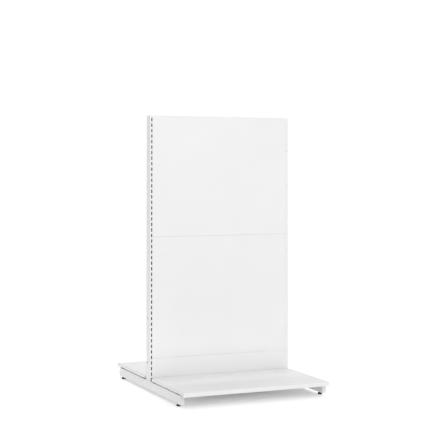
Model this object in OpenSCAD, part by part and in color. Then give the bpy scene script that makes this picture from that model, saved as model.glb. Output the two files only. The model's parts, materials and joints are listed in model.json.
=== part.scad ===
// Double-sided gondola bay: two slotted uprights on box-section base legs, sheet back panels
// hung on cross rails, and a lift-off base shelf on each side.
// Origin: on the floor, at the middle of the bay. X runs along the width, -Y is the front.

/* [Bay] */
// Distance between the centres of the two uprights
bay_pitch = 907; // [607:50:1257]
// Height from the floor to the top of the uprights
bay_height = 1669; // [1668:1:2236]
// Distance from the middle of the bay to the front edge of a base shelf
shelf_reach = 578; // [403:5:703]

/* [Uprights] */
// Width of the upright tube
upright_w = 25; // [25:1:30]
// Depth of the upright tube
upright_d = 60; // [60:1:80]
// Wall of the upright and leg tubes
tube_wall = 2; // [1.5:0.5:2.5]
// Width of a bracket slot
slot_w = 4; // [3:0.5:5]
// Height of a bracket slot
slot_h = 20; // [14:1:24]
// Centre height of the lowest bracket slot
slot_first = 77; // [76:1:80]
// Number of bracket slots in each column
slot_count = 48; // [24:1:48]

/* [Legs and feet] */
// Height of the leg tube
leg_h = 53; // [48:1:56]
// Height of the leg's underside above the floor, with the feet screwed in
leg_clearance = 14; // [12:1:14]
// How far the leg ends behind the shelf's front edge
leg_setback = 45; // [30:5:80]
// Diameter of a levelling foot's pad
pad_dia = 26; // [22:1:32]
// Diameter of a levelling foot's stud
stud_dia = 10; // [8:1:12]

/* [Sheet parts] */
// Thickness of panel and shelf sheet
sheet = 1; // [0.8:0.1:1.2]
// Height of a large back panel, seam to seam
panel_pitch = 733.33; // [600:0.01:733.33]
// Width of the gap at a panel seam
seam_gap = 0.5; // [0.5:0.5:2]
// Height of a base shelf's front face
shelf_h = 25; // [23:1:25]
// How far a base shelf's end stands in from the outer face of the upright
shelf_inset = 2; // [1:1:5]

/* [Hidden] */

LEFT = -1;
RIGHT = 1;
FRONT = -1;
REAR = 1;
ROUND = 48;                             // facets in a small round, all true circles
CUT = 1;                                // overrun of a cutter past the face it opens
SLOT_PITCH = 100 / 3;                   // bracket slots stand three to 100 mm

// Upright and leg
upright_x = bay_pitch / 2;
leg_top = leg_clearance + leg_h;
plug_t = 2;                             // plate of a tube plug
plug_depth = 12;                        // how far a tube plug reaches into its tube
plug_play = 0.3;
plug_wall = 2;
leg_end = shelf_reach - leg_setback;
join_hole_dia = 8;                      // holes for bolting a neighbouring bay alongside
join_slots = [3, 11];                   // the slots that the joining holes stand level with
spigot_t = 3;
spigot_d = 50;
spigot_h = 94;
spigot_play = 0.2;
spigot_screw_y = 8;                     // from the middle of the upright's depth
spigot_screw_z = [leg_top + 45, leg_top + 80];
screw_tip = 1;                          // shank beyond the spigot plate

// Levelling feet
foot_y = leg_end - 55;
pad_h = 11;
pad_taper = 2;
collar_dia = 15;                        // across the corners of the spanner hexagon
stud_top = leg_top - 15;
nut_side = 17;
nut_h = 8;
thread_play = 0.1;
stud_hole_play = 1.2;
collar_gap = 0.2;                       // between the spanner hexagon and the leg

// Cross rails
rail_sheet = 1.5;
rail_d = 25;
rail_h = 40;
bottom_rail_h = 30;
rail_plate = 2;
bolt_dia = 6;
bolt_play = 0.2;
bolt_head_dia = 10;
bolt_head_h = 4;
bolt_reach = 8;                         // shank beyond the rail's end plate
bolt_spacing = 16;
bolt_rise = 7;                          // from a rail's underside to its lower bolts
inner_half = upright_x - upright_w / 2; // from the middle of the bay to an upright's inner face

// Back panels
lip = 7;                                // how far a panel's edge laps onto the upright
panel_w = 2 * (inner_half + lip);
flange_d = 15;                          // folded side and bottom edges of a panel
flange_gap = 1.5;
hook_play = 1;
hook_drop = 14;
hook_end = 8;                           // a hook lip stops short of the panel's folded sides
infill_gap = 0.5;
infill_h = 12;
panel_back = upright_d / 2;
seam_high = bay_height - panel_pitch;
seam_low = seam_high - panel_pitch;
base_panel_bottom = leg_top + 7;
hook_reach = rail_d / 2 - rail_sheet - hook_play;

// Base shelves
apron_drop = 3;                         // a shelf's front skirt hangs this far below the leg's top
shelf_top = leg_top - apron_drop + shelf_h;
shelf_gap = 1;                          // clearance between a shelf's back edge and the panel
shelf_back = panel_back + sheet + shelf_gap;
shelf_half = upright_x + upright_w / 2 - shelf_inset;
pad_t = 5;
skirt_bottom = leg_top + pad_t;
skirt_lip = 12;
notch_w = 16;                           // rear corners are cut back past the slot column
notch_d = 30;
stiffener_w = 44;
stiffener_h = 14;
stiffener_brim = 10;
stiffener_gap = 4;                      // between a stiffener's end and the shelf's side lip
stiffener_sheet = 1.2;
rest_pad_w = 12;
rest_pad_l = 36;
rest_pad_recess = 2;                    // from the shelf's end
rest_pad_inset = 60;

// Slot covers
cover_t = 1;
cover_gap = 1;
cover_bottom = shelf_top + 3;
cover_tab_every = 6;
cover_tab_depth = 3;
cover_tab_play = 0.3;
screw_dia = 3;
screw_head_dia = 6;
screw_head_h = 1.6;
screw_reach = 6;
cover_screw_slots = [3.5, 22.5, 41.5];  // between two slots, counted in slot pitches

white = "whitesmoke";
black = "#1c1c1e";
zinc = "silver";
steel = "dimgray";

function slot_z(i) = slot_first + i * SLOT_PITCH;
function rail_bolt_zs(top, height) = [for (i = [0, 1]) top - height + bolt_rise + i * bolt_spacing];

top_rail_top = bay_height - sheet;
middle_rail_top = seam_high - seam_gap / 2 - sheet;
lower_rail_top = seam_low - seam_gap / 2 - sheet;
bottom_rail_top = leg_top + 2 + bottom_rail_h;
all_bolt_zs = concat(rail_bolt_zs(top_rail_top, rail_h), rail_bolt_zs(middle_rail_top, rail_h),
    rail_bolt_zs(lower_rail_top, rail_h), rail_bolt_zs(bottom_rail_top, bottom_rail_h));

// A box from its lowest corner to its highest corner
module span(low, high) {
    translate(low) cube(high - low);
}

// A cylinder along X, starting at a point
module rod_x(start, dia, length) {
    translate(start) rotate([0, 90, 0]) cylinder(d = dia, h = length, $fn = ROUND);
}

// A cylinder along Y, starting at a point
module rod_y(start, dia, length) {
    translate(start) rotate([-90, 0, 0]) cylinder(d = dia, h = length, $fn = ROUND);
}

// Upright tube, drawn for the right-hand side with its inner face towards -X
module upright_tube(cover_screws) {
    half_w = upright_w / 2;
    half_d = upright_d / 2;
    top = bay_height - plug_t;
    difference() {
        span([-half_w, -half_d, leg_top], [half_w, half_d, top]);
        span([-half_w + tube_wall, -half_d + tube_wall, leg_top - CUT],
            [half_w - tube_wall, half_d - tube_wall, top + CUT]);
        for (i = [0:slot_count - 1], side = [FRONT, REAR])
            translate([0, side * (half_d - tube_wall / 2), slot_z(i)])
                cube([slot_w, tube_wall + 2 * CUT, slot_h], center = true);
        for (i = join_slots)
            rod_x([half_w - tube_wall - CUT, 0, slot_z(i)], join_hole_dia, tube_wall + 2 * CUT);
        for (z = all_bolt_zs)
            rod_x([-half_w - CUT, 0, z], bolt_dia + bolt_play, tube_wall + 2 * CUT);
        for (z = spigot_screw_z, y = [-spigot_screw_y, spigot_screw_y])
            rod_x([-half_w - CUT, y, z], bolt_dia + bolt_play, tube_wall + 2 * CUT);
        for (i = cover_screws, side = [FRONT, REAR])
            rod_y([0, side * half_d - tube_wall - CUT, slot_z(i)], screw_dia + bolt_play,
                2 * tube_wall + 2 * CUT);
    }
}

module upright(side) {
    color(white) translate([side * upright_x, 0, 0]) mirror([side == LEFT ? 1 : 0, 0, 0])
        upright_tube(side == RIGHT ? cover_screw_slots : []);
}

// Plastic plug for a tube end: a plate over the end and a hollow skirt inside the tube.
// Drawn with the plate's outer face up at zero height.
module tube_plug(w, d) {
    skirt_w = w - 2 * tube_wall - plug_play;
    skirt_d = d - 2 * tube_wall - plug_play;
    translate([-w / 2, -d / 2, -plug_t]) cube([w, d, plug_t]);
    translate([0, 0, -plug_t - plug_depth / 2]) difference() {
        cube([skirt_w, skirt_d, plug_depth], center = true);
        translate([0, 0, -CUT])
            cube([skirt_w - 2 * plug_wall, skirt_d - 2 * plug_wall, plug_depth + CUT], center = true);
    }
}

module top_plug(side) {
    color(white) translate([side * upright_x, 0, bay_height]) tube_plug(upright_w, upright_d);
}

// Double-sided leg: one box tube from front to rear
module base_leg(side) {
    half_w = upright_w / 2;
    end = leg_end - plug_t;
    color(white) translate([side * upright_x, 0, 0]) difference() {
        span([-half_w, -end, leg_clearance], [half_w, end, leg_top]);
        span([-half_w + tube_wall, -end - CUT, leg_clearance + tube_wall],
            [half_w - tube_wall, end + CUT, leg_top - tube_wall]);
        for (y = [-foot_y, foot_y])
            translate([0, y, leg_clearance - CUT])
                cylinder(d = stud_dia + stud_hole_play, h = tube_wall + 2 * CUT, $fn = ROUND);
    }
}

// Two uncoated plates welded on a leg, which stand inside the upright and leave its slots free
module leg_spigots(side) {
    plate_x = upright_w / 2 - tube_wall - spigot_play - spigot_t / 2;
    color(steel) for (face = [LEFT, RIGHT])
        translate([side * upright_x + face * plate_x, 0, 0]) difference() {
            span([-spigot_t / 2, -spigot_d / 2, leg_top], [spigot_t / 2, spigot_d / 2, leg_top + spigot_h]);
            for (z = spigot_screw_z, y = [-spigot_screw_y, spigot_screw_y])
                rod_x([-spigot_t, y, z], bolt_dia + bolt_play, 2 * spigot_t);
            for (z = rail_bolt_zs(bottom_rail_top, bottom_rail_h))
                rod_x([-spigot_t, 0, z], bolt_dia + bolt_play, 2 * spigot_t);
        }
}

module leg_cap(side, end) {
    color(white) translate([side * upright_x, end * leg_end, leg_clearance + leg_h / 2])
        rotate([end == FRONT ? 90 : -90, 0, 0]) tube_plug(upright_w, leg_h);
}

// Levelling foot: round pad, spanner hexagon and threaded stud
module foot(side, end) {
    color(black) translate([side * upright_x, end * foot_y, 0]) {
        cylinder(d1 = pad_dia, d2 = pad_dia - pad_taper, h = pad_h, $fn = ROUND);
        translate([0, 0, pad_h]) cylinder(d = collar_dia, h = leg_clearance - pad_h - collar_gap, $fn = 6);
        translate([0, 0, pad_h]) cylinder(d = stud_dia, h = stud_top - pad_h, $fn = ROUND);
    }
}

// Square nuts fixed on the floor of the leg tubes
module foot_nuts() {
    color(zinc) for (side = [LEFT, RIGHT], end = [FRONT, REAR])
        translate([side * upright_x, end * foot_y, leg_clearance + tube_wall]) difference() {
            translate([-nut_side / 2, -nut_side / 2, 0]) cube([nut_side, nut_side, nut_h]);
            translate([0, 0, -CUT]) cylinder(d = stud_dia + thread_play, h = nut_h + 2 * CUT, $fn = ROUND);
        }
}

// Headed bolt along X, its head's underside at the start and its shank pointing to +X
module bolt_x(reach) {
    rod_x([-bolt_head_h, 0, 0], bolt_head_dia, bolt_head_h);
    rod_x([0, 0, 0], bolt_dia, reach);
}

module spigot_screws() {
    reach = tube_wall + spigot_play + spigot_t + screw_tip;
    color(zinc) for (side = [LEFT, RIGHT], y = [-spigot_screw_y, spigot_screw_y], z = spigot_screw_z)
        mirror([side == LEFT ? 1 : 0, 0, 0]) translate([inner_half, y, z]) bolt_x(reach);
}

// Upward-open channel between the uprights, with an end plate at each end
module rail(top, height) {
    half = inner_half;
    color(white) difference() {
        span([-half, -rail_d / 2, top - height], [half, rail_d / 2, top]);
        span([-half + rail_plate, -rail_d / 2 + rail_sheet, top - height + rail_sheet],
            [half - rail_plate, rail_d / 2 - rail_sheet, top + CUT]);
        for (z = rail_bolt_zs(top, height), side = [LEFT, RIGHT])
            rod_x([side * half - rail_plate - CUT, 0, z], bolt_dia + bolt_play, 2 * rail_plate + 2 * CUT);
    }
}

module rail_bolts() {
    color(zinc) for (side = [LEFT, RIGHT], z = all_bolt_zs)
        mirror([side == LEFT ? 1 : 0, 0, 0]) translate([inner_half - rail_plate, 0, z])
            bolt_x(rail_plate + bolt_reach);
}

// Strip that closes the top between the front and rear panels
module top_infill() {
    half = inner_half - flange_gap;
    half_d = hook_reach - sheet - infill_gap;
    fin_half = half - hook_end;
    color(white) {
        span([-half, -half_d, bay_height - sheet], [half, half_d, bay_height]);
        for (side = [FRONT, REAR])
            translate([0, side * (half_d - 2 * sheet), 0])
                span([-fin_half, -sheet / 2, bay_height - infill_h],
                    [fin_half, sheet / 2, bay_height - sheet]);
    }
}

// Back panel: a face sheet that laps onto the uprights, folded side, bottom and top edges,
// and a lip behind the top edge that hooks over the front wall of a rail.
// Drawn for the rear side, with its face towards +Y.
module panel_sheet(bottom, top) {
    half = inner_half - flange_gap;
    back = panel_back;
    front = panel_back + sheet;
    span([-panel_w / 2, back, bottom], [panel_w / 2, front, top]);
    for (x = [-half, half - sheet])
        span([x, front - flange_d, bottom], [x + sheet, back, top]);
    span([-half, front - flange_d, bottom], [half, back, bottom + sheet]);
    span([-half, hook_reach - sheet, top - sheet], [half, back, top]);
    span([-half + hook_end, hook_reach - sheet, top - hook_drop],
        [half - hook_end, hook_reach, top - sheet]);
}

module panel(side, bottom, top) {
    color(white) mirror([0, side == FRONT ? 1 : 0, 0]) panel_sheet(bottom, top);
}

// Base shelf: flat deck with folded front, side and rear skirts and inward lips.
// Drawn for the rear side, with its front edge towards +Y.
module shelf_tray() {
    half = shelf_half;
    front = shelf_reach;
    back = shelf_back;
    front_bottom = shelf_top - shelf_h;
    difference() {
        span([-half, back, front_bottom], [half, front, shelf_top]);
        span([-half + sheet, back + sheet, front_bottom - CUT],
            [half - sheet, front - sheet, shelf_top - sheet]);
        span([-half - CUT, back - CUT, front_bottom - CUT], [half + CUT, front - sheet, skirt_bottom]);
        for (side = [LEFT, RIGHT])
            translate([side * half, back, front_bottom])
                cube([2 * notch_w, 2 * notch_d, 4 * shelf_h], center = true);
    }
    for (side = [LEFT, RIGHT]) {
        skirt_x = side * (half - notch_w - sheet / 2);
        translate([skirt_x, 0, 0])
            span([-sheet / 2, back, skirt_bottom], [sheet / 2, back + notch_d + sheet, shelf_top - sheet]);
        translate([side * (half - notch_w / 2 - sheet / 2), 0, 0])
            span([-notch_w / 2 - sheet / 2, back + notch_d, skirt_bottom],
                [notch_w / 2 + sheet / 2, back + notch_d + sheet, shelf_top - sheet]);
        translate([side * (half - skirt_lip / 2), 0, 0])
            span([-skirt_lip / 2, back + notch_d, skirt_bottom],
                [skirt_lip / 2, front - sheet, skirt_bottom + sheet]);
    }
    span([-half + skirt_lip, front - skirt_lip, front_bottom],
        [half - skirt_lip, front - sheet / 2, front_bottom + sheet]);
}

module shelf_deck(side) {
    color(white) mirror([0, side == FRONT ? 1 : 0, 0]) shelf_tray();
}

// Hat-section stiffener under a shelf's deck
module hat_section() {
    half = shelf_half - skirt_lip - stiffener_gap;
    top = shelf_top - sheet;
    hat_w = stiffener_w - 2 * stiffener_brim;
    difference() {
        span([-half, -hat_w / 2, top - stiffener_h], [half, hat_w / 2, top]);
        span([-half - CUT, -hat_w / 2 + stiffener_sheet, top - stiffener_h + stiffener_sheet],
            [half + CUT, hat_w / 2 - stiffener_sheet, top + CUT]);
    }
    for (y = [-stiffener_w / 2, hat_w / 2])
        span([-half, y, top - stiffener_sheet], [half, y + stiffener_brim, top]);
}

module shelf_stiffeners(side) {
    depth = shelf_reach - shelf_back;
    color(white) for (place = [1, 2])
        translate([0, side * (shelf_back + place * depth / 3), 0]) hat_section();
}

// Rubber pads on top of the legs that the shelves' side lips rest on
module shelf_rest_pads() {
    inner = shelf_back + rest_pad_inset;
    outer = leg_end - rest_pad_inset;
    color(black) for (side = [LEFT, RIGHT], end = [FRONT, REAR], y = [inner, outer])
        translate([side * (shelf_half - rest_pad_recess - rest_pad_w / 2), end * y, leg_top + pad_t / 2])
            cube([rest_pad_w, rest_pad_l, pad_t], center = true);
}

// Cover strip over the slots of the right-hand upright, with tabs that press into the slots.
// Drawn for the rear side, with its face towards +Y.
module cover_strip() {
    low_x = panel_w / 2 + cover_gap;
    high_x = upright_x + upright_w / 2;
    face = upright_d / 2;
    tab_w = slot_w - cover_tab_play;
    tab_h = slot_h - cover_tab_play;
    difference() {
        union() {
            span([low_x, face, cover_bottom], [high_x, face + cover_t, bay_height - plug_t]);
            for (i = [1:cover_tab_every:slot_count - 1])
                translate([upright_x, face - cover_tab_depth / 2, slot_z(i)])
                    cube([tab_w, cover_tab_depth, tab_h], center = true);
        }
        for (i = cover_screw_slots)
            rod_y([upright_x, face - CUT, slot_z(i)], screw_dia + bolt_play, cover_t + 2 * CUT);
    }
}

module slot_cover(side) {
    color(white) mirror([0, side == FRONT ? 1 : 0, 0]) cover_strip();
}

module slot_cover_screws() {
    face = upright_d / 2 + cover_t;
    color(zinc) for (side = [FRONT, REAR], i = cover_screw_slots)
        mirror([0, side == FRONT ? 1 : 0, 0]) translate([upright_x, face, slot_z(i)]) {
            rod_y([0, 0, 0], screw_head_dia, screw_head_h);
            rod_y([0, -screw_reach, 0], screw_dia, screw_reach);
        }
}

upright(LEFT);  // upright_left
upright(RIGHT);  // upright_right
top_plug(LEFT);  // top_plug_left
top_plug(RIGHT);  // top_plug_right
base_leg(LEFT);  // base_leg_left
base_leg(RIGHT);  // base_leg_right
leg_spigots(LEFT);  // leg_spigots_left
leg_spigots(RIGHT);  // leg_spigots_right
leg_cap(LEFT, FRONT);  // leg_cap_front_left
leg_cap(LEFT, REAR);  // leg_cap_rear_left
leg_cap(RIGHT, FRONT);  // leg_cap_front_right
leg_cap(RIGHT, REAR);  // leg_cap_rear_right
foot(LEFT, FRONT);  // foot_front_left
foot(LEFT, REAR);  // foot_rear_left
foot(RIGHT, FRONT);  // foot_front_right
foot(RIGHT, REAR);  // foot_rear_right
foot_nuts();
spigot_screws();
rail(top_rail_top, rail_h);  // top_rail
rail(middle_rail_top, rail_h);  // middle_rail
rail(lower_rail_top, rail_h);  // lower_rail
rail(bottom_rail_top, bottom_rail_h);  // bottom_rail
rail_bolts();
top_infill();
panel(FRONT, seam_high + seam_gap / 2, bay_height);  // front_upper_panel
panel(FRONT, seam_low + seam_gap / 2, seam_high - seam_gap / 2);  // front_lower_panel
panel(FRONT, base_panel_bottom, seam_low - seam_gap / 2);  // front_base_panel
panel(REAR, seam_high + seam_gap / 2, bay_height);  // rear_upper_panel
panel(REAR, seam_low + seam_gap / 2, seam_high - seam_gap / 2);  // rear_lower_panel
panel(REAR, base_panel_bottom, seam_low - seam_gap / 2);  // rear_base_panel
shelf_deck(FRONT);  // front_shelf_deck
shelf_deck(REAR);  // rear_shelf_deck
shelf_stiffeners(FRONT);  // front_shelf_stiffeners
shelf_stiffeners(REAR);  // rear_shelf_stiffeners
shelf_rest_pads();
slot_cover(FRONT);  // front_slot_cover
slot_cover(REAR);  // rear_slot_cover
slot_cover_screws();
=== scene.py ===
"""Looks for a double-sided gondola bay: powder-coated tubes and folded sheet, plastic plugs and feet.

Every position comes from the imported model's nodes. Lengths are in metres, in the CAD frame.
"""

import json
import math

import bmesh
import bpy
from mathutils import Matrix, Vector, noise


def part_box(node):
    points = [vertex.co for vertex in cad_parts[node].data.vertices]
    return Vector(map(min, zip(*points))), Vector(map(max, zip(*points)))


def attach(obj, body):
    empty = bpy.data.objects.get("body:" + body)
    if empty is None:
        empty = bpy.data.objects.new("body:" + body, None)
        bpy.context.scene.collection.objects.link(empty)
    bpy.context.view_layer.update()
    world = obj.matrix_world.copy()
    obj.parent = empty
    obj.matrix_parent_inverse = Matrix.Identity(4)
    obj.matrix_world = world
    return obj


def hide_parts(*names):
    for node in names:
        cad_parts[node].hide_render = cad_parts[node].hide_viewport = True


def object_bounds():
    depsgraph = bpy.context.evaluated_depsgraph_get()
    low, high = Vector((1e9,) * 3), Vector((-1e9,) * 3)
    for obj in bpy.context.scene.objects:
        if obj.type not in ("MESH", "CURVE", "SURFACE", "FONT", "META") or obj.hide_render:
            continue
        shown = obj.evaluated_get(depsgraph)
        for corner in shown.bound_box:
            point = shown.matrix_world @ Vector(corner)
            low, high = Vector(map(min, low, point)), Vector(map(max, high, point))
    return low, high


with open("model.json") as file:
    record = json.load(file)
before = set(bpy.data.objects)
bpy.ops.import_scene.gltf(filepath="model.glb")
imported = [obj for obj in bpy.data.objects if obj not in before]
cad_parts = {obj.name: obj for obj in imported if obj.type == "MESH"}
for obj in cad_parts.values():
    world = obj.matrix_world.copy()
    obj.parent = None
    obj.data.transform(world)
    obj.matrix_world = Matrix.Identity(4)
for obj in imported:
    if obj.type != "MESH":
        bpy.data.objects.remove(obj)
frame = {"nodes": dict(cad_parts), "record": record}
cad_low, cad_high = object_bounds()
NODES = frame["nodes"]
SLOT_OF = {part["node"]: part["material_slot"] for part in frame["record"]["subparts"]}
BODY_OF = {node: body for body, nodes in frame["record"]["behaviour"]["bodies"].items() for node in nodes}

MM = 0.001
SIDES = ("left", "right")
ENDS = ("front", "rear")
SIGN = {"left": -1, "right": 1, "front": -1, "rear": 1}


# ---------------------------------------------------------------- materials

class Shader:
    """A Principled material and short ways to add the nodes that feed it."""

    def __init__(self, name, **values):
        self.material = bpy.data.materials.new(name)
        self.material.use_nodes = True
        self.tree = self.material.node_tree
        self.tree.nodes.clear()
        self.surface = self.add("ShaderNodeBsdfPrincipled")
        output = self.add("ShaderNodeOutputMaterial")
        self.link(self.surface.outputs["BSDF"], output.inputs["Surface"])
        for socket, value in values.items():
            self.surface.inputs[socket.replace("_", " ")].default_value = value
        self.place = self.add("ShaderNodeTexCoord").outputs["Object"]

    def add(self, kind, **settings):
        node = self.tree.nodes.new(kind)
        for key, value in settings.items():
            setattr(node, key, value)
        return node

    def link(self, source, target):
        self.tree.links.new(source, target)

    def noise(self, scale, detail=2.0, roughness=0.5, stretch=(1, 1, 1)):
        mapping = self.add("ShaderNodeMapping")
        mapping.inputs["Scale"].default_value = stretch
        self.link(self.place, mapping.inputs["Vector"])
        texture = self.add("ShaderNodeTexNoise")
        texture.inputs["Scale"].default_value = scale
        texture.inputs["Detail"].default_value = detail
        texture.inputs["Roughness"].default_value = roughness
        self.link(mapping.outputs["Vector"], texture.inputs["Vector"])
        return texture.outputs["Fac"]

    def ramp(self, source, low, high, low_value, high_value):
        node = self.add("ShaderNodeMapRange")
        limits = {"From Min": low, "From Max": high, "To Min": low_value, "To Max": high_value}
        for socket, value in limits.items():
            node.inputs[socket].default_value = value
        self.link(source, node.inputs["Value"])
        return node.outputs["Result"]

    def colour(self, source, stops):
        node = self.add("ShaderNodeValToRGB")
        ramp = node.color_ramp
        while len(ramp.elements) < len(stops):
            ramp.elements.new(0.5)
        for element, (position, colour) in zip(ramp.elements, stops):
            element.position = position
            element.color = (*colour, 1)
        self.link(source, node.inputs["Fac"])
        return node.outputs["Color"]

    def bump(self, source, strength, distance, after=None):
        node = self.add("ShaderNodeBump")
        node.inputs["Strength"].default_value = strength
        node.inputs["Distance"].default_value = distance
        self.link(source, node.inputs["Height"])
        if after is not None:
            self.link(after, node.inputs["Normal"])
        return node.outputs["Normal"]

    def feed(self, **sources):
        for socket, source in sources.items():
            self.link(source, self.surface.inputs[socket.replace("_", " ")])


def shade(colour, factor):
    return tuple(channel * factor for channel in colour)


def powder_coat(name, colour):
    """Satin polyester powder coat: faint cloudiness, orange peel and a very fine grain."""
    coat = Shader(name, Specular_IOR_Level=0.5, Coat_Weight=0.12, Coat_Roughness=0.25)
    cloud = coat.noise(5.0, detail=3.0)
    grain = coat.noise(2600.0, detail=1.0)
    peel = coat.noise(420.0, detail=2.0)
    tint = coat.colour(cloud, [(0.3, shade(colour, 0.985)), (0.7, colour)])
    rough = coat.ramp(peel, 0.3, 0.7, 0.34, 0.42)
    normal = coat.bump(grain, 0.05, 0.00006, after=coat.bump(peel, 0.09, 0.0004))
    coat.feed(Base_Color=tint, Roughness=rough, Normal=normal)
    return coat.material


def moulded_plastic(name, colour, rough_low, rough_high):
    """Injection-moulded plastic with a fine spark-eroded texture."""
    plastic = Shader(name, Specular_IOR_Level=0.5)
    grain = plastic.noise(1500.0, detail=3.0, roughness=0.6)
    flow = plastic.noise(45.0, detail=2.0, stretch=(1, 1, 0.3))
    tint = plastic.colour(flow, [(0.3, shade(colour, 0.94)), (0.7, colour)])
    rough = plastic.ramp(grain, 0.3, 0.7, rough_low, rough_high)
    plastic.feed(Base_Color=tint, Roughness=rough, Normal=plastic.bump(grain, 0.25, 0.00012))
    return plastic.material


def zinc_plate(name, colour):
    """Bright zinc plate on small fasteners, with drawn streaks and a cloudy passivated film."""
    zinc = Shader(name, Metallic=1.0)
    streak = zinc.noise(900.0, detail=2.0, stretch=(0.12, 1, 1))
    film = zinc.noise(130.0, detail=4.0)
    tint = zinc.colour(film, [(0.35, shade(colour, 0.86)), (0.55, colour), (0.7, (0.7, 0.68, 0.6))])
    rough = zinc.ramp(streak, 0.3, 0.7, 0.22, 0.42)
    zinc.feed(Base_Color=tint, Roughness=rough, Normal=zinc.bump(streak, 0.15, 0.00008))
    return zinc.material


def rubber(name, colour):
    """Matt black rubber with a dusty bloom."""
    pad = Shader(name, Specular_IOR_Level=0.3)
    bloom = pad.noise(160.0, detail=5.0, roughness=0.7)
    tint = pad.colour(bloom, [(0.35, colour), (0.75, shade(colour, 2.2))])
    pad.feed(Base_Color=tint, Roughness=pad.ramp(bloom, 0.3, 0.7, 0.7, 0.9),
             Normal=pad.bump(pad.noise(1100.0, detail=3.0), 0.3, 0.0001))
    return pad.material


def bare_steel_painted_shade(name, colour):
    """Uncoated steel inside the tubes: dark mill scale with rust bloom and rolled streaks. Its near-black
    tone is partly the bare steel and partly painted shade, for the unlit inside of the tubes and their slots.
    """
    steel = Shader(name, Metallic=0.35, Specular_IOR_Level=0.4)
    scale = steel.noise(90.0, detail=5.0, roughness=0.65)
    streak = steel.noise(240.0, detail=2.0, stretch=(1, 1, 0.08))
    tint = steel.colour(scale, [(0.3, shade(colour, 0.7)), (0.55, colour), (0.75, (0.045, 0.034, 0.028))])
    steel.feed(Base_Color=tint, Roughness=steel.ramp(scale, 0.3, 0.7, 0.5, 0.75),
               Normal=steel.bump(streak, 0.2, 0.0001))
    return steel.material


WHITE_COAT = (0.86, 0.86, 0.857)
WHITE_PLASTIC = (0.85, 0.85, 0.84)
MATERIALS = {
    "white_powder_coat": powder_coat("white_powder_coat", WHITE_COAT),
    "white_plastic": moulded_plastic("white_plastic", WHITE_PLASTIC, 0.42, 0.55),
    "black_plastic": moulded_plastic("black_plastic", (0.012, 0.012, 0.013), 0.5, 0.65),
    "zinc_steel": zinc_plate("zinc_steel", (0.66, 0.67, 0.69)),
    "black_rubber": rubber("black_rubber", (0.022, 0.022, 0.022)),
    # near black: partly the bare steel's colour, partly painted shade inside the tubes and their slots
    "bare_steel": bare_steel_painted_shade("bare_steel", (0.028, 0.027, 0.027)),
}


# ---------------------------------------------------------------- mesh helpers

def node_box(node):
    low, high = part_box(node)
    return Vector(low), Vector(high)


def piece(name, build, *nodes, smooth_angle=35):
    """Turns a bmesh into a piece that stands for CAD nodes, with their body, slot and material."""
    bmesh.ops.recalc_face_normals(build, faces=build.faces)
    mesh = bpy.data.meshes.new(name)
    build.to_mesh(mesh)
    build.free()
    thing = bpy.data.objects.new(name, mesh)
    bpy.context.scene.collection.objects.link(thing)
    slot = SLOT_OF[nodes[0]]
    mesh.materials.append(MATERIALS[slot])
    mesh.shade_smooth()
    mesh.set_sharp_from_angle(angle=math.radians(smooth_angle))
    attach(thing, BODY_OF[nodes[0]])
    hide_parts(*nodes)
    return thing


def soften(thing, width, segments=2):
    """Rounds sharp edges by a small radius."""
    edge = thing.modifiers.new("soft_edges", "BEVEL")
    edge.width = width
    edge.segments = segments
    edge.limit_method = "ANGLE"
    edge.angle_limit = math.radians(50)
    edge.harden_normals = True


def add_box(build, low, high):
    """A closed box between two corners."""
    made = bmesh.ops.create_cube(build, size=1.0)["verts"]
    size = high - low
    centre = (low + high) / 2
    for vert in made:
        vert.co = Vector((vert.co.x * size.x, vert.co.y * size.y, vert.co.z * size.z)) + centre
    return made


def bridge(build, first, second, closed=True):
    """Quads between two equally long rows of verts."""
    count = len(first)
    for i in range(count if closed else count - 1):
        j = (i + 1) % count
        build.faces.new((first[i], first[j], second[j], second[i]))


def ring(build, points):
    return [build.verts.new(point) for point in points]


def rounded_rectangle(half_w, half_d, radius, steps=5):
    """Outline of a rectangle with round corners, anticlockwise, as (x, y)."""
    outline = []
    for quarter in range(4):
        corner_x = (half_w - radius) * (1 if quarter in (0, 3) else -1)
        corner_y = (half_d - radius) * (1 if quarter in (0, 1) else -1)
        for step in range(steps + 1):
            angle = math.radians(90 * quarter + 90 * step / steps)
            outline.append((corner_x + radius * math.cos(angle), corner_y + radius * math.sin(angle)))
    return outline


def tube(half_w, half_d, length, wall, radius):
    """A hollow rectangular tube with round corners along Z, from zero up."""
    build = bmesh.new()
    rings = {}
    for skin, (w, d, r) in {"outer": (half_w, half_d, radius),
                            "inner": (half_w - wall, half_d - wall, max(radius - wall, 0.3 * MM))}.items():
        outline = rounded_rectangle(w, d, r)
        rings[skin] = [ring(build, [(x, y, z) for x, y in outline]) for z in (0.0, length)]
        bridge(build, *rings[skin])
    for level in (0, 1):
        bridge(build, rings["outer"][level], rings["inner"][level])
    return build


def slot_prism(build, centre, outward, width, height, steps=6):
    """A closed cutter for one punched slot, or for a round hole when width equals height.

    centre is in the middle of the tube's wall and outward points out of the tube. The cutter widens at the
    outer face, where the punch has drawn the edge in.
    """
    straight = (height - width) / 2
    side = Vector((0, 0, 1)).cross(outward)
    rings = []
    for depth, grow in ((-TUBE_WALL, 0), (TUBE_WALL / 2 - PUNCH_RIM, 0), (TUBE_WALL / 2, PUNCH_RIM),
                        (TUBE_WALL, PUNCH_RIM)):
        radius = width / 2 + grow
        outline = []
        for end in (0, 1):
            for step in range(steps + 1):
                angle = math.pi * (end + step / steps)
                lift = straight if end == 0 else -straight
                outline.append((math.cos(angle) * radius, math.sin(angle) * radius + lift))
        if straight <= 0:
            outline = outline[:steps] + outline[steps + 1:-1]
        middle = centre + outward * depth
        rings.append(ring(build, [middle + side * u + Vector((0, 0, v)) for u, v in outline]))
    for inner, outer in zip(rings, rings[1:]):
        bridge(build, inner, outer)
    build.faces.new(rings[0])
    build.faces.new(list(reversed(rings[-1])))


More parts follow.
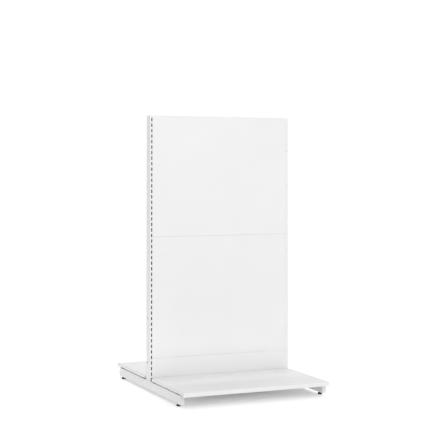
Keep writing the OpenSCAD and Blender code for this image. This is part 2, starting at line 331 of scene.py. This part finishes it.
def cut(build, cutters):
    """Subtracts one bmesh from another and returns the result; both are used up."""
    things = []
    for name, part in (("whole", build), ("cutter", cutters)):
        bmesh.ops.recalc_face_normals(part, faces=part.faces)
        mesh = bpy.data.meshes.new(name)
        part.to_mesh(mesh)
        part.free()
        thing = bpy.data.objects.new(name, mesh)
        bpy.context.scene.collection.objects.link(thing)
        things.append(thing)
    whole, cutter = things
    boolean = whole.modifiers.new("cut", "BOOLEAN")
    boolean.object = cutter
    boolean.operation = "DIFFERENCE"
    boolean.solver = "EXACT"
    graph = bpy.context.evaluated_depsgraph_get()
    result = bmesh.new()
    result.from_mesh(whole.evaluated_get(graph).to_mesh())
    for thing in things:
        mesh = thing.data
        bpy.data.objects.remove(thing)
        bpy.data.meshes.remove(mesh)
    return result


def move(build, matrix):
    bmesh.ops.transform(build, matrix=matrix, verts=build.verts)


# ---------------------------------------------------------------- frame: uprights, legs and plugs

TUBE_WALL = 2 * MM
TUBE_RADIUS = 3 * MM
SLOT_W = 4 * MM
SLOT_H = 20 * MM
SLOT_PITCH = 0.1 / 3
JOIN_HOLE = 8 * MM
PUNCH_RIM = 1.2 * MM
mounts = {mount["name"]: mount for mount in frame["record"]["mounts"]}
SLOT_COUNT = 48
slot_column = Vector(mounts["slot_column_front_left"]["pos_m"])
lowest_slot = slot_column.z - (SLOT_COUNT - 1) / 2 * SLOT_PITCH
join = mounts["bay_join_left"]
join_spacing = join["dims"]["spacing_y_mm"] * MM


def make_upright(side):
    """Round-cornered tube, with a column of round-ended slots in its front and rear faces."""
    node = f"upright_{side}"
    low, high = node_box(node)
    size = high - low
    centre = (low + high) / 2
    build = tube(size.x / 2, size.y / 2, size.z, TUBE_WALL, TUBE_RADIUS)
    move(build, Matrix.Translation((centre.x, centre.y, low.z)))
    cutters = bmesh.new()
    for end in ENDS:
        wall_y = centre.y + SIGN[end] * (size.y / 2 - TUBE_WALL / 2)
        for i in range(SLOT_COUNT):
            overrun = SLOT_H / 2 if i == 0 else 0       # the lowest slot is open at the tube's end
            middle = Vector((centre.x, wall_y, lowest_slot + i * SLOT_PITCH - overrun / 2))
            slot_prism(cutters, middle, Vector((0, SIGN[end], 0)), SLOT_W, SLOT_H + overrun)
    wall_x = centre.x + SIGN[side] * (size.x / 2 - TUBE_WALL / 2)
    for way in (-1, 1):
        slot_prism(cutters, Vector((wall_x, 0, join["pos_m"][2] + way * join_spacing / 2)),
                   Vector((SIGN[side], 0, 0)), JOIN_HOLE, JOIN_HOLE)
    show_bore(piece(f"{node}_tube", cut(build, cutters), node), 2)


def show_bore(thing, lengthwise):
    """Leaves a tube uncoated inside and on the walls of its holes: only its outer skin has the coat. The
    near-black steel there is partly bare steel and partly painted shade, for the dark inside of the tube seen
    through its slots.
    """
    thing.data.materials.append(MATERIALS["bare_steel"])
    across = [axis for axis in range(3) if axis != lengthwise]
    places = [vert.co for vert in thing.data.vertices]
    lows, highs = ([end(place[axis] for place in places) for axis in range(3)] for end in (min, max))
    for face in thing.data.polygons:
        gaps = [min(face.center[a] - lows[a], highs[a] - face.center[a]) for a in across]
        round_off = [max(TUBE_RADIUS - gap, 0.0) for gap in gaps]
        depth = TUBE_RADIUS - math.hypot(*round_off) if min(round_off) > 0 else min(gaps)
        if depth > TUBE_WALL / 8:
            face.material_index = 1


def make_leg(side):
    """Round-cornered box tube lying from front to rear, with a hole for each foot's stud."""
    node = f"base_leg_{side}"
    low, high = node_box(node)
    size = high - low
    centre = (low + high) / 2
    build = tube(size.x / 2, size.z / 2, size.y, TUBE_WALL, TUBE_RADIUS)
    lay_down = Matrix.Translation((centre.x, low.y, centre.z)) @ Matrix.Rotation(math.radians(-90), 4, "X")
    move(build, lay_down)
    cutters = bmesh.new()
    for end in ENDS:
        foot_low, foot_high = node_box(f"foot_{end}_{side}")
        foot = (foot_low + foot_high) / 2
        outline = [(foot.x + STUD_HOLE / 2 * math.cos(a), foot.y + STUD_HOLE / 2 * math.sin(a))
                   for a in (math.tau * i / 32 for i in range(32))]
        rings = [ring(cutters, [(x, y, low.z + way * TUBE_WALL * 2) for x, y in outline]) for way in (-1, 1)]
        bridge(cutters, *rings)
        cutters.faces.new(rings[0])
        cutters.faces.new(list(reversed(rings[1])))
    show_bore(piece(f"{node}_tube", cut(build, cutters), node), 1)


STUD_HOLE = 11.2 * MM


def plug(w, d, plate, reach, wall, play):
    """Tube plug, plate up at zero height: a softly domed plate and a ribbed skirt that grips the tube."""
    build = bmesh.new()
    half_w, half_d = w / 2, d / 2
    dome = [(0.0, -plate), (0.0, -PLUG_EDGE), (PLUG_EDGE * 0.3, -PLUG_EDGE * 0.3), (PLUG_EDGE, 0.0)]
    rings = []
    for inset, z in dome:
        outline = rounded_rectangle(half_w - inset, half_d - inset, TUBE_RADIUS - inset)
        rings.append(ring(build, [(x, y, z) for x, y in outline]))
    for lower, upper in zip(rings, rings[1:]):
        bridge(build, lower, upper)
    build.faces.new(rings[-1])
    skirt = [half_w - wall - play, half_d - wall - play]
    levels = [(0.0, -plate)]
    for i in range(PLUG_RIBS):
        z = -plate - reach * (i + 0.5) / PLUG_RIBS
        levels += [(0.0, z + 1.2 * MM), (play, z), (0.0, z - 0.6 * MM)]
    levels += [(0.0, -plate - reach + 1 * MM), (-1 * MM, -plate - reach)]
    outer = []
    for grow, z in levels:
        outline = rounded_rectangle(skirt[0] + grow, skirt[1] + grow, PLUG_CORNER)
        outer.append(ring(build, [(x, y, z) for x, y in outline]))
    for upper, lower in zip(outer, outer[1:]):
        bridge(build, upper, lower)
    bridge(build, rings[0], outer[0])
    inner_w, inner_d = skirt[0] - wall, skirt[1] - wall
    inner = [ring(build, [(x, y, z) for x, y in rounded_rectangle(inner_w, inner_d, PLUG_INNER_CORNER)])
             for z in (-plate - reach, -plate - 1 * MM)]
    bridge(build, outer[-1], inner[0])
    bridge(build, *inner)
    build.faces.new(inner[-1])
    return build


PLUG_PLATE = 2 * MM
PLUG_PLAY = 0.15 * MM
PLUG_EDGE = 0.8 * MM
PLUG_CORNER = 1.4 * MM
PLUG_INNER_CORNER = 0.8 * MM
PLUG_RIBS = 3


def make_top_plug(side):
    node = f"top_plug_{side}"
    low, high = node_box(node)
    size = high - low
    build = plug(size.x, size.y, PLUG_PLATE, size.z - PLUG_PLATE, TUBE_WALL, PLUG_PLAY)
    centre = (low + high) / 2
    move(build, Matrix.Translation((centre.x, centre.y, high.z)))
    piece(f"{node}_moulding", build, node)


def make_leg_cap(side, end):
    node = f"leg_cap_{end}_{side}"
    low, high = node_box(node)
    size = high - low
    build = plug(size.x, size.z, PLUG_PLATE, size.y - PLUG_PLATE, TUBE_WALL, PLUG_PLAY)
    centre = (low + high) / 2
    outer_y = low.y if end == "front" else high.y
    turn = Matrix.Rotation(math.radians(-90 * SIGN[end]), 4, "X")
    move(build, Matrix.Translation((centre.x, outer_y, centre.z)) @ turn)
    piece(f"{node}_moulding", build, node)


for side in SIDES:
    make_upright(side)
    make_leg(side)
    make_top_plug(side)
    for end in ENDS:
        make_leg_cap(side, end)


# ---------------------------------------------------------------- levelling feet

STUD_RADIUS = 5 * MM
THREAD_PITCH = 1.5 * MM
THREAD_DEPTH = 0.75 * MM
PAD_HEIGHT = 11 * MM
COLLAR_RADIUS = 7.5 * MM
COLLAR_TOP = 13.8 * MM
COLLAR_CHAMFER = 0.7 * MM
GRIP_RIBS = 20
RIB_W = 1.2 * MM


def lathe(build, profile, steps=48):
    """A closed solid of revolution about Z; profile is (radius, z) from the lower end to the upper end."""
    rings = []
    for radius, z in profile:
        rings.append(ring(build, [(radius * math.cos(a), radius * math.sin(a), z)
                                  for a in (math.tau * i / steps for i in range(steps))]))
    for lower, upper in zip(rings, rings[1:]):
        bridge(build, lower, upper)
    build.faces.new(rings[0])
    build.faces.new(list(reversed(rings[-1])))


def screw_thread(build, low, high, steps=24, rows_per_turn=6):
    """A stud whose radius follows a helix, closed at both ends."""
    rows = int((high - low) / THREAD_PITCH * rows_per_turn)
    rings = []
    for row in range(rows + 1):
        z = low + (high - low) * row / rows
        points = []
        for i in range(steps):
            turn = i / steps
            phase = (z / THREAD_PITCH - turn) % 1.0
            depth = THREAD_DEPTH * (1 - abs(2 * phase - 1))
            fade = min(1.0, (high - z) / THREAD_PITCH + 0.2)
            radius = (STUD_RADIUS - depth) * (0.86 + 0.14 * fade)
            points.append((radius * math.cos(math.tau * turn), radius * math.sin(math.tau * turn), z))
        rings.append(ring(build, points))
    for lower, upper in zip(rings, rings[1:]):
        bridge(build, lower, upper)
    build.faces.new(rings[0])
    build.faces.new(list(reversed(rings[-1])))


def make_foot(side, end):
    """Moulded pad with grip ribs, a spanner hexagon and a threaded stud."""
    node = f"foot_{end}_{side}"
    low, high = node_box(node)
    centre = (low + high) / 2
    pad_r = (high.x - low.x) / 2
    build = bmesh.new()
    pad_top = low.z + PAD_HEIGHT
    rib_top = pad_top - 1.4 * MM
    lathe(build, [(pad_r - 1.2 * MM, low.z), (pad_r - 0.3 * MM, low.z + 0.3 * MM), (pad_r, low.z + 1.2 * MM),
                  (pad_r - 0.9 * MM, rib_top), (pad_r - 1.3 * MM, pad_top - 0.5 * MM),
                  (pad_r - 2.2 * MM, pad_top)])
    for i in range(GRIP_RIBS):
        made = add_box(build, Vector((pad_r - 4 * MM, -RIB_W / 2, low.z + 2 * MM)),
                       Vector((pad_r - 0.2 * MM, RIB_W / 2, rib_top)))
        turn = Matrix.Rotation(math.tau * i / GRIP_RIBS, 3, "Z")
        bmesh.ops.rotate(build, verts=made, cent=(0, 0, 0), matrix=turn)
    hexagon = [(COLLAR_RADIUS, pad_top - 0.2 * MM), (COLLAR_RADIUS, COLLAR_TOP - COLLAR_CHAMFER),
               (COLLAR_RADIUS - COLLAR_CHAMFER, COLLAR_TOP)]
    lathe(build, hexagon, steps=6)
    screw_thread(build, COLLAR_TOP - 1 * MM, high.z)
    move(build, Matrix.Translation((centre.x, centre.y, 0)))
    piece(f"{node}_moulding", build, node, smooth_angle=28)


for side in SIDES:
    for end in ENDS:
        make_foot(side, end)


# ---------------------------------------------------------------- folded sheet

SHEET = 1 * MM
BEND = 1.6 * MM
PANEL_BEND = 0.8 * MM
BEND_STEPS = 4


def rounded_path(points, radius, steps=BEND_STEPS):
    """A polyline with its inner corners rounded, as 2-D points."""
    path = [Vector(points[0])]
    for before, corner, after in zip(points, points[1:], points[2:]):
        corner = Vector(corner)
        back = (Vector(before) - corner).normalized()
        ahead = (Vector(after) - corner).normalized()
        half = back.angle(ahead) / 2
        reach = radius / math.tan(half)
        centre = corner + (back + ahead).normalized() * radius / math.sin(half)
        start = corner + back * reach - centre
        sweep = start.angle_signed(corner + ahead * reach - centre)
        for step in range(steps + 1):
            turn = -sweep * step / steps
            path.append(centre + Vector((start.x * math.cos(turn) - start.y * math.sin(turn),
                                         start.x * math.sin(turn) + start.y * math.cos(turn))))
    path.append(Vector(points[-1]))
    return path


def thicken(thing, thickness):
    sheet = thing.modifiers.new("sheet_thickness", "SOLIDIFY")
    sheet.thickness = thickness
    sheet.offset = -1
    sheet.use_even_offset = True


def steps_between(low, high, count):
    return [low + (high - low) * i / count for i in range(count + 1)]


FLANGE_GAP = 1.5 * MM
HOOK_DROP = 14 * MM
FLANGE_DEPTH = 15 * MM
FLATNESS = 0.35 * MM
FACE_ROWS = 24
FACE_COLUMNS = 28


def make_panel(name, seed):
    """One sheet bent over a hook at the top and a stiffening edge at the bottom, with welded side edges.

    The face is very slightly uneven, as large sheets are.
    """
    low, high = node_box(name)
    way = SIGN[name.split("_")[0]]
    face_y = high.y if way > 0 else -low.y
    hook_y = low.y if way > 0 else -high.y
    half = node_box("upright_right")[0].x - FLANGE_GAP
    face_half = (high.x - low.x) / 2
    path = rounded_path([(hook_y + SHEET, high.z - HOOK_DROP), (hook_y + SHEET, high.z), (face_y, high.z),
                         (face_y, low.z), (face_y - FLANGE_DEPTH, low.z)], PANEL_BEND)
    flat_start = max(i for i, point in enumerate(path) if point.y > (low.z + high.z) / 2)
    flat_rows = [Vector((face_y, z))
                 for z in steps_between(path[flat_start].y, path[flat_start + 1].y, FACE_ROWS)]
    path = path[:flat_start] + flat_rows + path[flat_start + 2:]
    flat = range(flat_start, flat_start + len(flat_rows))
    columns = [-face_half] + steps_between(-half, half, FACE_COLUMNS) + [face_half]
    build = bmesh.new()
    grid = []
    for row, point in enumerate(path):
        line = []
        for x in columns:
            on_face = row in flat
            if abs(x) > half and not on_face:
                line.append(None)
                continue
            y = point.x
            if on_face:
                across = math.cos(math.pi * x / (2 * face_half))
                along = math.sin(math.pi * (point.y - low.z) / (high.z - low.z))
                wave = noise.noise(Vector((x * 2.3, point.y * 2.1, seed * 7.7)))
                y -= FLATNESS * across * along * (0.5 + wave)
            line.append(build.verts.new((x, way * y, point.y)))
        grid.append(line)
    for row in range(len(path) - 1):
        for column in range(len(columns) - 1):
            upper, lower = grid[row], grid[row + 1]
            corners = [upper[column], upper[column + 1], lower[column + 1], lower[column]]
            if None not in corners:
                build.faces.new(corners)
    bmesh.ops.recalc_face_normals(build, faces=build.faces)
    middle = Vector((0, way * face_y, (low.z + high.z) / 2))
    probe = min(build.faces, key=lambda face: (face.calc_center_median() - middle).length)
    if probe.normal.y * way < 0:
        bmesh.ops.reverse_faces(build, faces=build.faces)
    skin = solid_sheet(build, SHEET)
    for sign in (-1, 1):
        edge_low = Vector((sign * (half - SHEET / 2) - SHEET / 2, 0, low.z + 2 * BEND))
        edge_high = Vector((sign * (half - SHEET / 2) + SHEET / 2, 0, high.z - 2 * BEND))
        near, far = sorted((way * (face_y - FLANGE_DEPTH), way * (face_y - SHEET * 1.3)))
        add_box(skin, Vector((edge_low.x, near, edge_low.z)), Vector((edge_high.x, far, edge_high.z)))
    piece(f"{name}_sheet", skin, name)


def solid_sheet(build, thickness):
    """Gives an open skin its sheet thickness, inward from its faces, and returns a closed bmesh."""
    mesh = bpy.data.meshes.new("skin")
    build.to_mesh(mesh)
    build.free()
    thing = bpy.data.objects.new("skin", mesh)
    bpy.context.scene.collection.objects.link(thing)
    thicken(thing, thickness)
    graph = bpy.context.evaluated_depsgraph_get()
    result = bmesh.new()
    result.from_mesh(thing.evaluated_get(graph).to_mesh())
    bpy.data.objects.remove(thing)
    bpy.data.meshes.remove(mesh)
    return result


PANELS = [f"{end}_{place}_panel" for end in ENDS for place in ("upper", "lower", "base")]
for seed, panel in enumerate(PANELS):
    make_panel(panel, seed)


# ---------------------------------------------------------------- base shelves

SHELF_BEND = 2.2 * MM
SHELF_CORNER = 3 * MM
NOTCH_W = 16 * MM
NOTCH_D = 30 * MM
SKIRT_RISE = 8 * MM
SKIRT_LIP = 12 * MM
LIP_INSET = 0.3 * MM


def arc(cx, cy, radius, start, end, steps=6):
    """Points on an arc, angles in degrees."""
    return [(cx + radius * math.cos(a), cy + radius * math.sin(a))
            for a in (math.radians(start + (end - start) * i / steps) for i in range(steps + 1))]


def make_shelf(end):
    """Folded tray: flat deck, round bends, a deeper front skirt, notched rear corners and folded lips."""
    node = f"{end}_shelf_deck"
    low, high = node_box(node)
    way = SIGN[end]
    half = (high.x - low.x) / 2
    front = max(abs(low.y), abs(high.y))
    back = min(abs(low.y), abs(high.y))
    r = SHELF_CORNER
    outline = [(half - NOTCH_W, back), (half - NOTCH_W, back + NOTCH_D), (half, back + NOTCH_D),
               (half, front - r - 1 * MM)]
    outline += arc(half - r, front - r, r, 0, 90)
    outline += [(-x, y) for x, y in reversed(outline)]
    points = [Vector(p) for p in outline]
    count = len(points)
    miters = []
    for i, point in enumerate(points):
        before = (point - points[i - 1]).normalized()
        after = (points[(i + 1) % count] - point).normalized()
        out_before = Vector((before.y, -before.x))
        out_after = Vector((after.y, -after.x))
        bisector = (out_before + out_after).normalized()
        miters.append(bisector / bisector.dot(out_before))
    build = bmesh.new()
    rings = []
    for step in range(BEND_STEPS + 1):
        angle = math.radians(90 * step / BEND_STEPS)
        inset = SHELF_BEND * (1 - math.sin(angle))
        z = high.z - SHELF_BEND * (1 - math.cos(angle))
        bent = [p - m * inset for p, m in zip(points, miters)]
        rings.append(ring(build, [(p.x, way * p.y, z) for p in bent]))
    edge = [low.z if p.y > front - r - 0.5 * MM else low.z + SKIRT_RISE for p in points]
    rings.append(ring(build, [(p.x, way * p.y, z) for p, z in zip(points, edge)]))
    build.faces.new(rings[0])
    for upper, lower in zip(rings, rings[1:]):
        bridge(build, upper, lower)
    bmesh.ops.recalc_face_normals(build, faces=build.faces)
    if build.faces[0].normal.z < 0:
        bmesh.ops.reverse_faces(build, faces=build.faces)
    tray = solid_sheet(build, SHEET)
    lips = [((sign * half - (SKIRT_LIP if sign > 0 else 0), back + NOTCH_D + 2 * MM, low.z + SKIRT_RISE),
             (sign * half + (0 if sign > 0 else SKIRT_LIP), front - 6 * MM, low.z + SKIRT_RISE + SHEET))
            for sign in (-1, 1)]
    lips.append(((-half + SKIRT_LIP, front - SKIRT_LIP, low.z),
                 (half - SKIRT_LIP, front - LIP_INSET, low.z + SHEET)))
    for lip_low, lip_high in lips:
        near, far = sorted((way * lip_low[1], way * lip_high[1]))
        add_box(tray, Vector((lip_low[0] + LIP_INSET, near, lip_low[2])),
                Vector((lip_high[0] - LIP_INSET, far, lip_high[2])))
    piece(f"{end}_shelf_tray", tray, node)


def make_stiffeners(end):
    """Two hat sections with round bends, and a row of spot welds along each brim."""
    node = f"{end}_shelf_stiffeners"
    low, high = node_box(node)
    half = (high.x - low.x) / 2
    build = bmesh.new()
    centres = (low.y + HAT_W / 2, high.y - HAT_W / 2)
    outer, inner = HAT_W / 2, HAT_W / 2 - HAT_BRIM
    path = rounded_path([(-outer, high.z), (-inner, high.z), (-inner, low.z), (inner, low.z), (inner, high.z),
                         (outer, high.z)], BEND)
    for centre_y in centres:
        rows = [ring(build, [(x, centre_y + p.x, p.y) for p in path]) for x in (-half, half)]
        bridge(build, *rows, closed=False)
    bmesh.ops.recalc_face_normals(build, faces=build.faces)
    brims = [face for face in build.faces
             if abs(face.normal.z) > 0.9 and face.calc_center_median().z > high.z - 1 * MM]
    if brims[0].normal.z < 0:
        bmesh.ops.reverse_faces(build, faces=build.faces)
    hats = solid_sheet(build, HAT_SHEET)
    for centre_y in centres:
        for brim in (-1, 1):
            y = centre_y + brim * (HAT_W - HAT_BRIM) / 2
            for x in steps_between(-half + WELD_STEP / 2, half - WELD_STEP / 2, WELD_COUNT - 1):
                weld = bmesh.new()
                z = high.z - HAT_SHEET
                lathe(weld, [(1.2 * MM, z - 0.25 * MM), (2.4 * MM, z - 0.2 * MM), (2.9 * MM, z + 0.1 * MM)],
                      steps=16)
                move(weld, Matrix.Translation((x, y, 0)))
                mesh = bpy.data.meshes.new("weld")
                weld.to_mesh(mesh)
                weld.free()
                hats.from_mesh(mesh)
                bpy.data.meshes.remove(mesh)
    piece(f"{end}_shelf_hats", hats, node)


HAT_W = 44 * MM
HAT_BRIM = 10 * MM
HAT_SHEET = 1.2 * MM
WELD_COUNT = 10
WELD_STEP = 80 * MM

for end in ENDS:
    make_shelf(end)
    make_stiffeners(end)


# ---------------------------------------------------------------- slot covers and small hardware

GROOVE_HALF_W = 0.45 * MM
GROOVE_HALF_L = 1.6 * MM
SPIN_PER_METRE = 370                    # degrees, so that the recesses stand at different angles


def make_cover_screws():
    """Pan heads with a cross recess, over plain shanks."""
    node = "slot_cover_screws"
    low, high = node_box(node)
    cover_high = node_box("rear_slot_cover")[1]
    centre_x = (low.x + high.x) / 2
    head_r = (high.x - low.x) / 2
    face = cover_high.y
    head_h = high.y - face
    screw_zs = steps_between(low.z + head_r, high.z - head_r, 2)
    build = bmesh.new()
    for way in (-1, 1):
        for z in screw_zs:
            screw = bmesh.new()
            lathe(screw, [(1.5 * MM, -4.5 * MM), (1.5 * MM, 0.0), (head_r, 0.0), (head_r, head_h * 0.35),
                          (head_r * 0.85, head_h * 0.8), (head_r * 0.5, head_h)], steps=32)
            for half_x, half_y in ((GROOVE_HALF_W, GROOVE_HALF_L), (GROOVE_HALF_L, GROOVE_HALF_W)):
                groove = bmesh.new()
                add_box(groove, Vector((-half_x, -half_y, head_h * 0.45)),
                        Vector((half_x, half_y, head_h * 1.5)))
                screw = cut(screw, groove)
            spin = Matrix.Rotation(math.radians(SPIN_PER_METRE * z), 4, "Z")
            turn = Matrix.Rotation(math.radians(-90 * way), 4, "X") @ spin
            move(screw, Matrix.Translation((centre_x, way * face, z)) @ turn)
            mesh = bpy.data.meshes.new("screw")
            screw.to_mesh(mesh)
            screw.free()
            build.from_mesh(mesh)
            bpy.data.meshes.remove(mesh)
    piece("slot_cover_pan_heads", build, node)


make_cover_screws()

KEPT = {"top_rail": 0.4, "middle_rail": 0.4, "lower_rail": 0.4, "bottom_rail": 0.4, "top_infill": 0.3,
        "leg_spigots_left": 0.5, "leg_spigots_right": 0.5, "foot_nuts": 0.8, "spigot_screws": 0.6,
        "rail_bolts": 0.6, "shelf_rest_pads": 0.6, "front_slot_cover": 0.3, "rear_slot_cover": 0.3}
for node, radius in KEPT.items():
    thing = NODES[node]
    thing.data.materials.clear()
    thing.data.materials.append(MATERIALS[SLOT_OF[node]])
    soften(thing, radius * MM)


# ---------------------------------------------------------------- studio: floor, light and camera

def make_floor():
    """A plain pale floor, far larger than the bay, with painted light: the floor glows, and glows less under
    the bay, where that paints a darker shadow.
    """
    build = bmesh.new()
    corners = [(-1, -1), (1, -1), (1, 1), (-1, 1)]
    build.faces.new(ring(build, [(x * FLOOR_HALF, y * FLOOR_HALF, 0) for x, y in corners]))
    mesh = bpy.data.meshes.new("studio_floor")
    build.to_mesh(mesh)
    build.free()
    floor = bpy.data.objects.new("studio_floor", mesh)
    bpy.context.scene.collection.objects.link(floor)
    surface = Shader("studio_floor", Roughness=1.0, Specular_IOR_Level=0.0, Base_Color=(*FLOOR_COLOUR, 1),
                     Emission_Color=(1, 1, 1, 1))
    axes = surface.add("ShaderNodeSeparateXYZ")
    surface.link(surface.place, axes.inputs["Vector"])
    beyond = surface.add("ShaderNodeMath", operation="MAXIMUM")
    for axis, half_size, target in zip("XY", cad_high, beyond.inputs):
        across = surface.add("ShaderNodeMath", operation="ABSOLUTE")
        surface.link(axes.outputs[axis], across.inputs[0])
        past = surface.add("ShaderNodeMath", operation="SUBTRACT")
        past.inputs[1].default_value = half_size
        surface.link(across.outputs["Value"], past.inputs[0])
        surface.link(past.outputs["Value"], target)
    # painted light and painted shade: the floor glows outside the bay and glows less under it, which paints a
    # darker shadow there
    near = surface.ramp(beyond.outputs["Value"], -PAINTED_SHADE_FADE, 0, PAINTED_SHADE_UNDER_BAY, FLOOR_PAINTED_LIGHT)
    far = surface.ramp(beyond.outputs["Value"], FAR_START, FAR_END, 0, FAR_PAINTED_LIGHT)
    painted_light = surface.add("ShaderNodeMath", operation="ADD")
    surface.link(near, painted_light.inputs[0])
    surface.link(far, painted_light.inputs[1])
    surface.feed(Emission_Strength=painted_light.outputs["Value"])
    mesh.materials.append(surface.material)


FLOOR_HALF = 30.0
FLOOR_COLOUR = (0.93, 0.93, 0.93)
# painted light: the floor's glow outside the bay; its lower value under the bay is a painted shadow
FLOOR_PAINTED_LIGHT = 0.263
PAINTED_SHADE_UNDER_BAY = 0.088
PAINTED_SHADE_FADE = 0.3                         # painted shade: the floor's glow sinks to its lower value under the bay over this distance
FAR_PAINTED_LIGHT = 0.04                         # painted light: glow added where the lights no longer reach the floor
FAR_START = 1.0
FAR_END = 4.0


def make_world():
    """White surroundings for the eye, and for the light a sky that is brightest on the right of the bay."""
    world = bpy.data.worlds.new("studio")
    bpy.context.scene.world = world
    world.use_nodes = True
    tree = world.node_tree
    direction = tree.nodes.new("ShaderNodeTexCoord").outputs["Generated"]
    along = tree.nodes.new("ShaderNodeVectorMath")
    along.operation = "DOT_PRODUCT"
    along.inputs[1].default_value = Vector(BRIGHT_SIDE).normalized()
    tree.links.new(direction, along.inputs[0])
    level = tree.nodes.new("ShaderNodeMapRange")
    limits = {"From Min": -1.0, "From Max": 1.0, "To Min": SKY_DIM, "To Max": SKY_BRIGHT}
    for socket, value in limits.items():
        level.inputs[socket].default_value = value
    tree.links.new(along.outputs["Value"], level.inputs["Value"])
    seen = tree.nodes.new("ShaderNodeMix")
    seen.inputs["B"].default_value = BACKDROP
    tree.links.new(tree.nodes.new("ShaderNodeLightPath").outputs["Is Camera Ray"], seen.inputs["Factor"])
    tree.links.new(level.outputs["Result"], seen.inputs["A"])
    sky = tree.nodes["Background"]
    sky.inputs["Color"].default_value = (1, 1, 1, 1)
    tree.links.new(seen.outputs["Result"], sky.inputs["Strength"])


BRIGHT_SIDE = (1, 0.07, 0)
SKY_DIM = 0.38
SKY_BRIGHT = 1.19
BACKDROP = 1.05


def soft_light(name, place, target, width, height, power):
    data = bpy.data.lights.new(name, "AREA")
    data.shape = "RECTANGLE"
    data.size = width
    data.size_y = height
    data.energy = power
    lamp = bpy.data.objects.new(name, data)
    bpy.context.scene.collection.objects.link(lamp)
    lamp.location = place
    lamp.rotation_euler = (Vector(target) - Vector(place)).to_track_quat("-Z", "Y").to_euler()
    lamp.visible_camera = False


CAMERA_PLACE = (-2.931, -6.758, 1.334)
CAMERA_TURN = 23.703                    # degrees from +Y towards +X
CAMERA_RISE = 0.951                     # degrees above level
CAMERA_ROLL = 0.029
CAMERA_LENS = 95.223
CAMERA_SHIFT = -0.1625


def make_camera():
    """Stands at the front left at about chest height and looks almost level, with the lens shifted down."""
    data = bpy.data.cameras.new("camera")
    data.lens = CAMERA_LENS
    data.shift_y = CAMERA_SHIFT
    camera = bpy.data.objects.new("camera", data)
    bpy.context.scene.collection.objects.link(camera)
    camera.location = CAMERA_PLACE
    turn = Matrix.Rotation(math.radians(-CAMERA_TURN), 4, "Z")
    rise = Matrix.Rotation(math.radians(90 + CAMERA_RISE), 4, "X")
    roll = Matrix.Rotation(math.radians(CAMERA_ROLL), 4, "Z")
    camera.matrix_world = Matrix.Translation(CAMERA_PLACE) @ turn @ rise @ roll
    bpy.context.scene.camera = camera


make_floor()
make_world()
soft_light("front_key", (0.3, -3.4, 2.1), (0, -0.3, 0.3), 2.5, 0.8, 15)
soft_light("rear_top", (-0.5, 1.3, 2.9), (-0.2, 0.4, 0), 1.6, 1.0, 18)
soft_light("shelf_fill", (-0.1, -0.32, 0.24), (-0.1, 0, 0.13), 1.2, 0.1, 0.22)
make_camera()
bpy.context.scene.view_settings.view_transform = "Standard"
